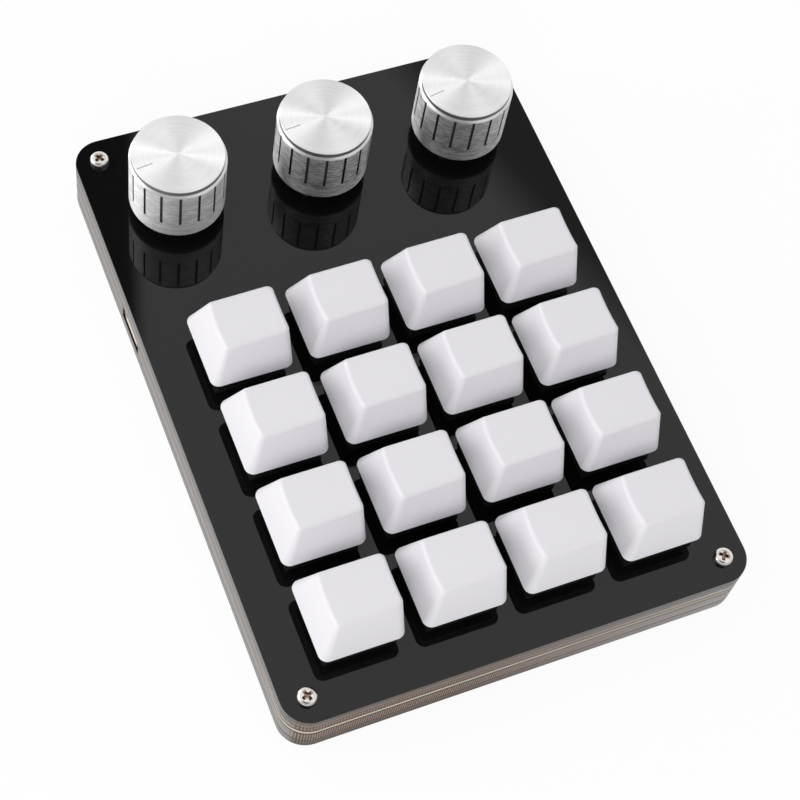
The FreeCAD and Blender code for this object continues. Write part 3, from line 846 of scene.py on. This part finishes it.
class KEYPAD_OT_switches(bpy.types.Operator):
    """Finishes the switches, the encoders and the other pieces inside"""

    bl_idname = "keypad.switches"
    bl_label = "Switches and inside"

    def execute(self, context):
        black = plain_finish("housing_black", (0.006, 0.006, 0.007), 0.75, gloss=0.25)
        pressed = plain_finish("pressed_steel", (0.62, 0.60, 0.57), 0.32, metallic=1.0)
        brass = plain_finish("contact_brass", (0.72, 0.55, 0.28), 0.3, metallic=1.0)
        stem = plain_finish("stem_brown", (0.20, 0.09, 0.04), 0.45)
        looks = {
            "switch_lower_housings": black,
            "switch_upper_housings": black,
            "switch_contacts": brass,
            "encoder_bases": black,
            "encoder_covers": pressed,
            "board_components": black,
            "standoffs": brass,
        }
        for key in KEYS:
            looks["stem_" + key] = stem
        for dial in KNOB_LOOKS_AND_PAINTED_LIGHT:
            looks["encoder_disc_" + dial] = black
            looks["encoder_shaft_" + dial] = pressed
        for node, material in looks.items():
            mesh = frame["nodes"][node].data
            mesh.materials.clear()
            mesh.materials.append(material)
        return {"FINISHED"}


def model_spring(spring, radius, bottom, top):
    """A spring round the Z axis: a ring of wire swept up by a screw, with both ends closed."""
    clear_selection()
    bpy.ops.mesh.primitive_circle_add(vertices=8, radius=spring.wire / 2, enter_editmode=True)
    bpy.ops.transform.rotate(value=math.pi / 2, orient_axis="X", center_override=(0, 0, 0))
    bpy.ops.transform.translate(value=(radius - spring.wire / 2, 0, bottom + spring.wire / 2))
    piece = name_piece("spring")
    rise = (top - bottom - spring.wire) / spring.turns
    modify(piece, "SCREW", steps=20, iterations=spring.turns, screw_offset=rise)
    bpy.ops.object.mode_set(mode="EDIT")
    bpy.ops.mesh.select_all(action="SELECT")
    bpy.ops.mesh.fill_holes(sides=8)
    bpy.ops.mesh.select_all(action="SELECT")
    bpy.ops.mesh.normals_make_consistent(inside=False)
    bpy.ops.object.mode_set(mode="OBJECT")
    smooth(piece, 50)
    return piece


class KEYPAD_OT_springs(bpy.types.Operator):
    """Winds the return springs, which on the real keypad shorten as their keys go down"""

    bl_idname = "keypad.springs"
    bl_label = "Return springs"

    def execute(self, context):
        spring = settings("spring")
        steel = plain_finish("spring_steel", (0.60, 0.60, 0.60), metallic=1.0, roughness=0.3)
        low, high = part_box("switch_springs")
        places = {}
        for key in KEYS:
            places[key] = upright_axis("stem_" + key)
        radius = high.y - max(place.y for place in places.values())
        model = model_spring(spring, radius, low.z, high.z)
        for key, place in places.items():
            piece = copy_piece(model, "spring_" + key, place)
            settle(piece, "case", "spring_steel", steel, "switch_springs")
            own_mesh(piece)
        remove(model)
        return {"FINISHED"}


def model_knob(knob, radius, bottom, top):
    """The turned shell round the Z axis, with its pointer line towards +X."""
    ledge = top - knob.face_rise
    shoulder = ledge - knob.shoulder_drop
    foot_radius = radius - knob.foot_edge
    groove_top = shoulder - 0.1 * MM
    groove_foot = groove_top - 2 * knob.groove
    piece = drum_piece("knob", foot_radius, bottom, bottom + knob.foot_edge / 2, knob.sides)
    pick(piece, "FACE", lambda centre, normal: normal.z > 0.9)
    rings = (
        (radius, bottom + knob.foot_edge),
        (radius, groove_foot),
        (radius - knob.groove, groove_foot + knob.groove),
        (radius, groove_top),
        (radius, shoulder),
        (knob.face_radius, ledge),
        (knob.face_radius, top - knob.face_edge),
        (knob.face_radius - knob.face_edge, top),
    )
    last_radius, last_height = foot_radius, bottom + knob.foot_edge / 2
    for ring_radius, height in rings:
        share = ring_radius / last_radius
        push((0, 0, height - last_height), (share, share, 1))
        last_radius, last_height = ring_radius, height
    pick(piece, "FACE", lambda centre, normal: normal.z < -0.9)
    bpy.ops.mesh.inset(thickness=knob.wall)
    push((0, 0, top - knob.roof - bottom))
    cutters = []
    slot = box_piece(
        "slot",
        (radius - knob.slot_depth, -knob.slot_width / 2, bottom + knob.slot_foot),
        (radius + knob.slot_depth, knob.slot_width / 2, shoulder - knob.slot_head),
    )
    for index in range(knob.slots):
        cutters.append(copy_piece(slot, "slot_copy", (0, 0, 0), 2 * math.pi * index / knob.slots))
    remove(slot)
    cut(piece, join("slots", cutters))
    line = box_piece(
        "line",
        (knob.pointer_start, -knob.pointer_width / 2, top - knob.pointer_depth),
        (knob.pointer_end, knob.pointer_width / 2, top + MM),
    )
    cut(piece, line)
    smooth(piece, 30)
    return piece


def model_bush(knob, radius, bottom, top):
    """The plastic plug inside the shell, hollow round the bushing."""
    piece = drum_piece("bush", radius, bottom, top, knob.sides)
    cut(piece, drum_piece("hollow", knob.bush_hollow, bottom - MM, bottom + knob.bush_hollow_depth, 48))
    round_edges(piece, knob.bush_edge, 2, 60)
    smooth(piece, 30)
    return piece


class KEYPAD_OT_knobs(bpy.types.Operator):
    """Turns the knobs and their plastic bushes"""

    bl_idname = "keypad.knobs"
    bl_label = "Knobs"

    def execute(self, context):
        knob = settings("knob")
        plastic = plain_finish("bush_plastic", knob.bush_tint, roughness=0.35)
        low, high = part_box("knob_left")
        bush_low, bush_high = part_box("knob_bush_left")
        radius = (high.x - low.x) / 2
        shell = model_knob(knob, radius, low.z, high.z)
        bush = model_bush(knob, (bush_high.x - bush_low.x) / 2, bush_low.z, bush_high.z)
        for dial in KNOB_LOOKS_AND_PAINTED_LIGHT:
            body, node, bush_node = "dial_" + dial, "knob_" + dial, "knob_bush_" + dial
            place = upright_axis(node)
            look = KNOB_LOOKS_AND_PAINTED_LIGHT[dial]
            metal = turned_metal("turned_aluminium_" + dial, knob, look, place, radius, low.z, high.z)
            turn = math.pi + math.radians(look["turn"])
            shell_copy = copy_piece(shell, node + "_turned", place, turn)
            bush_copy = copy_piece(bush, bush_node + "_round", place, turn)
            settle(shell_copy, body, "knob_aluminium", metal, node)
            settle(bush_copy, body, "bush_plastic", plastic, bush_node)
        remove(shell)
        remove(bush)
        return {"FINISHED"}


class KEYPAD_OT_screws(bpy.types.Operator):
    """Models the cross-head screw and sets four above and four below"""

    bl_idname = "keypad.screws"
    bl_label = "Screws"

    def execute(self, context):
        screw = settings("screw")
        model = self.model_screw(screw)
        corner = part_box("case_screws")[1]
        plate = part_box("top_plate")[1].z
        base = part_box("bottom_plate")[0].z
        across, along = corner.x - screw.head_radius, corner.y - screw.head_radius
        copies = []
        for side_x, side_y, upper_turn, lower_turn in SCREW_TURNS:
            place = Vector((side_x * across, side_y * along, plate))
            copies.append(copy_piece(model, "screw_copy", place, upper_turn))
            lower = copy_piece(model, "screw_copy", (0, 0, 0), lower_turn)
            place.z = base
            lower.data.transform(Matrix.Translation(place) @ Matrix.Rotation(math.pi, 4, "X"))
            copies.append(lower)
        remove(model)
        nickel = screw_finish(screw, across, along, plate + screw.head_height, base - screw.head_height)
        settle(join("case_screws_turned", copies), "case", "screw_nickel", nickel, "case_screws")
        return {"FINISHED"}

    def model_screw(self, screw):
        """A round head with a tapered cross recess, standing on the plane it holds down, and its shank."""
        head = drum_piece("head", screw.head_radius, 0, screw.head_height, 48)
        pick(head, "EDGE", lambda a, b: min(a.z, b.z) > screw.head_height / 2)
        bpy.ops.mesh.bevel(offset=screw.head_edge, segments=6, affect="EDGES")
        bpy.ops.object.mode_set(mode="OBJECT")
        long, wide = screw.recess_reach, screw.recess_half_width
        floor = screw.head_height - screw.recess_depth
        for half_x, half_y in ((long, wide), (wide, long)):
            above = screw.head_height + 0.1 * MM
            arm = box_piece("arm", (-half_x, -half_y, floor), (half_x, half_y, above))
            pick(arm, "FACE", lambda centre, normal: normal.z < -0.9)
            taper = screw.recess_taper
            bpy.ops.transform.resize(value=(taper, taper, 1), center_override=(0, 0, floor))
            cut(head, arm)
        shank = drum_piece("shank", screw.shank_radius, -screw.shank_length, 0.2 * MM, 24)
        whole = join("screw", [head, shank])
        smooth(whole, 35)
        return whole


class KEYPAD_OT_socket(bpy.types.Operator):
    """Models the socket in the left edge"""

    bl_idname = "keypad.socket"
    bl_label = "Socket"

    def execute(self, context):
        socket = settings("socket")
        low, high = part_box("usb_socket")
        low.x -= socket.proud
        middle = Vector((low.x, (low.y + high.y) / 2, (low.z + high.z) / 2))
        shell = box_piece("shell", low, high)
        pick(shell, "EDGE", lambda a, b: abs(a.x - b.x) > MM)
        bpy.ops.mesh.bevel(offset=socket.corner, segments=6, affect="EDGES")
        pick(shell, "FACE", lambda centre, normal: normal.x < -0.9)
        bpy.ops.mesh.inset(thickness=socket.rim)
        push((socket.funnel, 0, 0), (1, socket.narrow_y, socket.narrow_z), middle)
        push((socket.depth, 0, 0))
        half = Vector((0, socket.tongue_half_width, socket.tongue_half_height))
        root = Vector((socket.tongue_setback, 0, 0))
        tip = Vector((socket.tongue_setback + socket.tongue_length, 0, 0))
        tongue = box_piece("tongue", middle + root - half, middle + tip + half)
        whole = join("usb_socket_shell", [shell, tongue])
        smooth(whole, 35)
        steel = plain_finish("socket_steel", socket.tint, metallic=1.0, roughness=0.45)
        settle(whole, "case", "pressed_steel", steel, "usb_socket")
        return {"FINISHED"}


class KEYPAD_OT_feet(bpy.types.Operator):
    """Rounds the rubber feet"""

    bl_idname = "keypad.feet"
    bl_label = "Feet"

    def execute(self, context):
        foot = settings("foot")
        rubber = plain_finish("foot_rubber", foot.tint, roughness=0.7)
        low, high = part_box("rubber_feet")
        feet = []
        for side_x in (-1, 1):
            for side_y in (-1, 1):
                centre = (side_x * (high.x - foot.radius), side_y * (high.y - foot.radius))
                feet.append(drum_piece("foot", foot.radius, low.z, high.z, 48, centre))
        whole = join("rubber_feet_round", feet)
        round_edges(whole, foot.edge, 3, 60)
        smooth(whole, 35)
        settle(whole, "case", "foot_rubber", rubber, "rubber_feet")
        return {"FINISHED"}


class KEYPAD_OT_stage(bpy.types.Operator):
    """Sets the floor, the lamps, the pale sky and the camera"""

    bl_idname = "keypad.stage"
    bl_label = "Stage"

    def execute(self, context):
        stage = settings("stage")
        self.add_floor(stage)
        self.add_sky(stage)
        for name, (place, size, mirrored) in LAMPS.items():
            self.add_lamp(name, getattr(stage, name + "_power"), place, size, mirrored)
        self.add_camera(stage)
        return {"FINISHED"}

    def add_floor(self, stage):
        clear_selection()
        bpy.ops.mesh.primitive_plane_add(size=6)
        floor = bpy.context.view_layer.objects.active
        floor.name = "floor"
        recipe = Recipe("floor_white", Roughness=0.9, Specular_IOR_Level=0.0)
        recipe.shader.inputs["Base Color"].default_value = (*stage.floor_tint, 1)
        glow = recipe.node("ShaderNodeEmission")
        glow.inputs["Strength"].default_value = 1.0
        mix = recipe.node("ShaderNodeMixShader")
        seen = recipe.node("ShaderNodeLightPath").outputs["Is Camera Ray"]
        recipe.link(recipe.both(seen, stage.floor_glow), mix.inputs["Fac"])
        recipe.link(recipe.shader.outputs["BSDF"], mix.inputs[1])
        recipe.link(glow.outputs["Emission"], mix.inputs[2])
        output = recipe.tree.nodes["Material Output"]
        recipe.link(mix.outputs["Shader"], output.inputs["Surface"])
        floor.data.materials.append(recipe.material)

    def add_sky(self, stage):
        world = bpy.data.worlds.new("studio")
        world.use_nodes = True
        bpy.context.scene.world = world
        sky = Nodes(world.node_tree)
        background = sky.tree.nodes["Background"]
        background.inputs["Color"].default_value = (1, 1, 1, 1)
        ray = sky.node("ShaderNodeLightPath")
        mirrored = sky.maths("MAXIMUM", ray.outputs["Is Glossy Ray"], ray.outputs["Is Transmission Ray"])
        seen = sky.maths("MAXIMUM", ray.outputs["Is Camera Ray"], mirrored)
        level = sky.band(seen, 0, 1, stage.sky, 1)
        for card in self.dark_cards(sky):
            level = sky.both(level, sky.maths("SUBTRACT", 1.0, sky.both(card, mirrored)))
        sky.link(level, background.inputs["Strength"])

    def dark_cards(self, sky):
        """The dark things round the studio that only reflections show: each 1 in its middle and 0 outside."""
        direction = sky.node("ShaderNodeTexCoord").outputs["Generated"]
        x, y, z = sky.axes(direction)

        def beyond(slant, low, high, depth=1.0):
            along = sky.node("ShaderNodeVectorMath", operation="DOT_PRODUCT")
            along.inputs[1].default_value = slant
            sky.link(direction, along.inputs[0])
            return sky.band(along.outputs["Value"], low, high, 0, depth)

        overhead = sky.band(z, 0.70, 0.74)
        low_down = sky.band(z, 0.50, 0.40)
        leftwards, rightwards = (-1, 0.3, 0), (1, 0.5, 0)
        behind = sky.band(y, 0.45, 0.47)
        level_with = sky.band(sky.maths("ABSOLUTE", y), 0.20, 0.08)
        back_left = beyond(leftwards, -0.017, -0.009, 0.95), beyond(leftwards, 0.09, 0.05), behind, overhead
        back_right = beyond(rightwards, 0.570, 0.588, 0.7), beyond(rightwards, 0.70, 0.65), overhead
        front = sky.band(y, -0.05, -0.3, 0, 0.55), low_down
        left = level_with, sky.band(x, -0.2, -0.3, 0, 0.85), low_down
        photographer = beyond((-0.27, -0.40, 0.87), 0.86, 0.93, 0.85)
        return [sky.both(*card) for card in (back_left, back_right, front, left)] + [photographer]

    def add_lamp(self, name, power, place, size, mirrored):
        lamp = bpy.data.lights.new(name, "AREA")
        lamp.shape = "RECTANGLE"
        lamp.size, lamp.size_y = size
        lamp.energy = power
        holder = bpy.data.objects.new(name, lamp)
        holder.visible_glossy = mirrored
        bpy.context.scene.collection.objects.link(holder)
        place = Vector(place)
        aim = (Vector((0, 0, 0.02)) - place).to_track_quat("-Z", "Y")
        holder.matrix_world = Matrix.Translation(place) @ aim.to_matrix().to_4x4()

    def add_camera(self, stage):
        az, el, roll = stage.azimuth, stage.elevation, stage.roll
        back = Vector((math.sin(az) * math.cos(el), -math.cos(az) * math.cos(el), math.sin(el)))
        right = UP.cross(back).normalized()
        above = back.cross(right)
        rolled_right = right * math.cos(roll) + above * math.sin(roll)
        rolled_up = above * math.cos(roll) - right * math.sin(roll)
        target = Vector((stage.target_x, stage.target_y, stage.target_z))
        place = target + back * stage.distance
        camera = bpy.data.cameras.new("camera")
        camera.lens = stage.lens
        camera.sensor_width = 36
        camera.clip_start = 0.01
        camera.clip_end = 50
        holder = bpy.data.objects.new("camera", camera)
        bpy.context.scene.collection.objects.link(holder)
        axes = Matrix((rolled_right, rolled_up, back)).transposed().to_4x4()
        holder.matrix_world = Matrix.Translation(place) @ axes
        bpy.context.scene.camera = holder


STEPS = (
    KEYPAD_OT_case,
    KEYPAD_OT_switches,
    KEYPAD_OT_springs,
    KEYPAD_OT_caps,
    KEYPAD_OT_knobs,
    KEYPAD_OT_screws,
    KEYPAD_OT_socket,
    KEYPAD_OT_feet,
    KEYPAD_OT_stage,
)
GROUPS = {
    "cap": CapSettings,
    "spring": SpringSettings,
    "knob": KnobSettings,
    "case": CaseSettings,
    "screw": ScrewSettings,
    "socket": SocketSettings,
    "foot": FootSettings,
    "stage": StageSettings,
}


class KEYPAD_PT_panel(bpy.types.Panel):
    """Lists the steps that dress the keypad"""

    bl_idname = "KEYPAD_PT_panel"
    bl_label = "Macro keypad"
    bl_space_type = "VIEW_3D"
    bl_region_type = "UI"
    bl_category = "Keypad"

    def draw(self, context):
        for step in STEPS:
            self.layout.operator(step.bl_idname)


def register():
    for group in GROUPS.values():
        bpy.utils.register_class(group)
    for step in STEPS:
        bpy.utils.register_class(step)
    bpy.utils.register_class(KEYPAD_PT_panel)
    for name, group in GROUPS.items():
        setattr(bpy.types.Scene, "keypad_" + name, PointerProperty(type=group))


def unregister():
    for name in GROUPS:
        delattr(bpy.types.Scene, "keypad_" + name)
    bpy.utils.unregister_class(KEYPAD_PT_panel)
    for step in reversed(STEPS):
        bpy.utils.unregister_class(step)
    for group in reversed(list(GROUPS.values())):
        bpy.utils.unregister_class(group)


def main():
    register()
    bpy.context.scene.view_settings.view_transform = "Standard"
    bpy.ops.keypad.case()
    bpy.ops.keypad.switches()
    bpy.ops.keypad.springs()
    bpy.ops.keypad.caps()
    bpy.ops.keypad.knobs()
    bpy.ops.keypad.screws()
    bpy.ops.keypad.socket()
    bpy.ops.keypad.feet()
    bpy.ops.keypad.stage()


if __name__ == "__main__":
    main()
